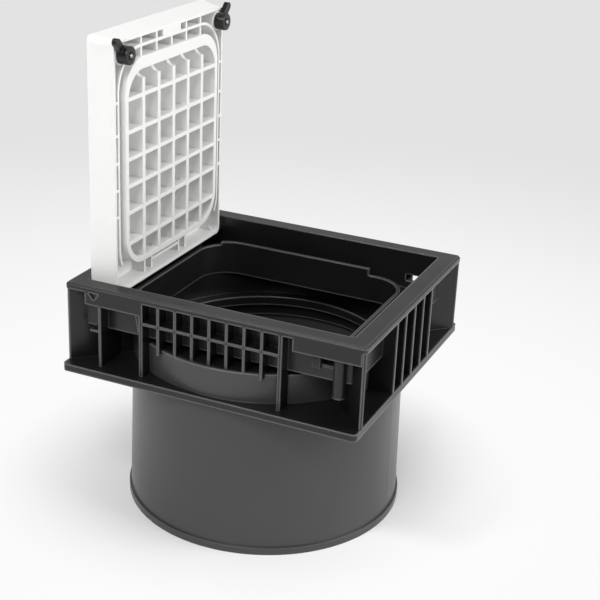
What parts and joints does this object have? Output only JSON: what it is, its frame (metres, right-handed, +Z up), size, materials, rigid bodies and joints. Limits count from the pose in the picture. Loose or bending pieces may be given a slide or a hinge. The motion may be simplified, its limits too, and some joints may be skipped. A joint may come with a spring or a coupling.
{
  "type": "earth inspection pit",
  "caption": "Rectangular ribbed plastic frame on a round skirt, with a hinged ribbed lid and corner locks, for access to a buried earth rod clamp.",
  "frame": {"origin": "on the skirt's axis, at the level of its bottom edge", "axes": "+Z up, +X from the hinge end of the frame to its lock end, +Y across the frame"},
  "size_m": [0.251, 0.2304, 0.3857],
  "materials": {
    "frame_plastic": "satin black moulding",
    "skirt_plastic": "satin dark grey moulding",
    "lid_plastic": "satin white moulding",
    "toggle_nylon": "black moulding",
    "washer_nylon": "black",
    "bolt_steel": "bright zinc plated"
  },
  "bodies": {
    "pit": {"frame": "frame_plastic", "skirt": "skirt_plastic"},
    "lid": {"lid": "lid_plastic", "lock_washer_front": "washer_nylon", "lock_washer_back": "washer_nylon"},
    "lock_front": {"lock_bolt_front": "bolt_steel", "lock_toggle_front": "toggle_nylon", "lock_nut_front": "bolt_steel"},
    "lock_back": {"lock_bolt_back": "bolt_steel", "lock_toggle_back": "toggle_nylon", "lock_nut_back": "bolt_steel"}
  },
  "joints": [
    {"name": "lid_hinge", "type": "hinge", "parent": "pit", "child": "lid", "pos_m": [-0.10025, 0, 0.1845], "axis": [0, 1, 0], "range_deg": [0, 90]},
    {"name": "lock_turn_front", "type": "hinge", "parent": "lid", "child": "lock_front", "pos_m": [-0.09, -0.076, 0.37175], "axis": [1, 0, 0], "range_deg": [-45, 45]},
    {"name": "lock_turn_back", "type": "hinge", "parent": "lid", "child": "lock_back", "pos_m": [-0.09, 0.076, 0.37175], "axis": [-1, 0, 0], "range_deg": [-45, 45]}
  ]
}
